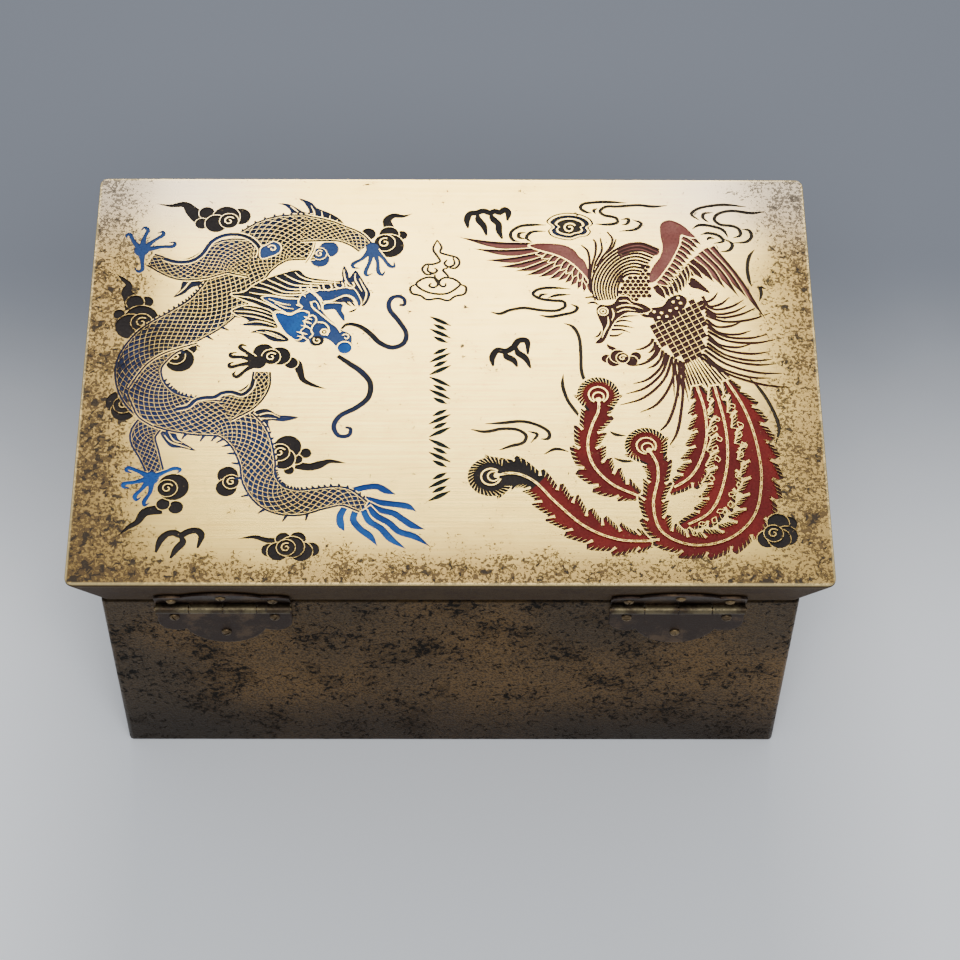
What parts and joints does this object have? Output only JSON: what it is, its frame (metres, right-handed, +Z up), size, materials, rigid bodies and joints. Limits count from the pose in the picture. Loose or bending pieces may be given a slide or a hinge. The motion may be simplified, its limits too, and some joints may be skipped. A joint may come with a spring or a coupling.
{
  "type": "jewelry box",
  "caption": "Hinged brass jewelry box with a flared, flat-topped lid engraved with dragon and phoenix figures, for keeping small valuables.",
  "frame": {"origin": "middle of the box's underside", "axes": "+Z up, +X along the box's length, hinges on the -Y side, so the lid's opening edge faces +Y"},
  "size_m": [0.2, 0.135, 0.099],
  "materials": {
    "engraved_brass": "worn polish with dark speckled patina and enamel colour in the engraving",
    "aged_brass": "dark brown mottled patina",
    "hinge_bronze": "antiqued, nearly black",
    "screw_brass": "antiqued, rubbed bright on the heads"
  },
  "bodies": {
    "box": {"body": "aged_brass", "hinge_left_lower_leaf": "hinge_bronze", "hinge_right_lower_leaf": "hinge_bronze", "hinge_left_pin": "screw_brass", "hinge_right_pin": "screw_brass", "hinge_left_lower_screw_1": "screw_brass", "hinge_left_lower_screw_2": "screw_brass", "hinge_left_lower_screw_3": "screw_brass", "hinge_right_lower_screw_1": "screw_brass", "hinge_right_lower_screw_2": "screw_brass", "hinge_right_lower_screw_3": "screw_brass"},
    "lid": {"lid": "engraved_brass", "hinge_left_upper_leaf": "hinge_bronze", "hinge_right_upper_leaf": "hinge_bronze", "hinge_left_upper_screw_1": "screw_brass", "hinge_left_upper_screw_2": "screw_brass", "hinge_left_upper_screw_3": "screw_brass", "hinge_right_upper_screw_1": "screw_brass", "hinge_right_upper_screw_2": "screw_brass", "hinge_right_upper_screw_3": "screw_brass"}
  },
  "joints": [
    {"name": "lid_hinge", "type": "hinge", "parent": "box", "child": "lid", "pos_m": [0, -0.0627, 0.0786], "axis": [1, 0, 0], "range_deg": [0, 150]}
  ]
}
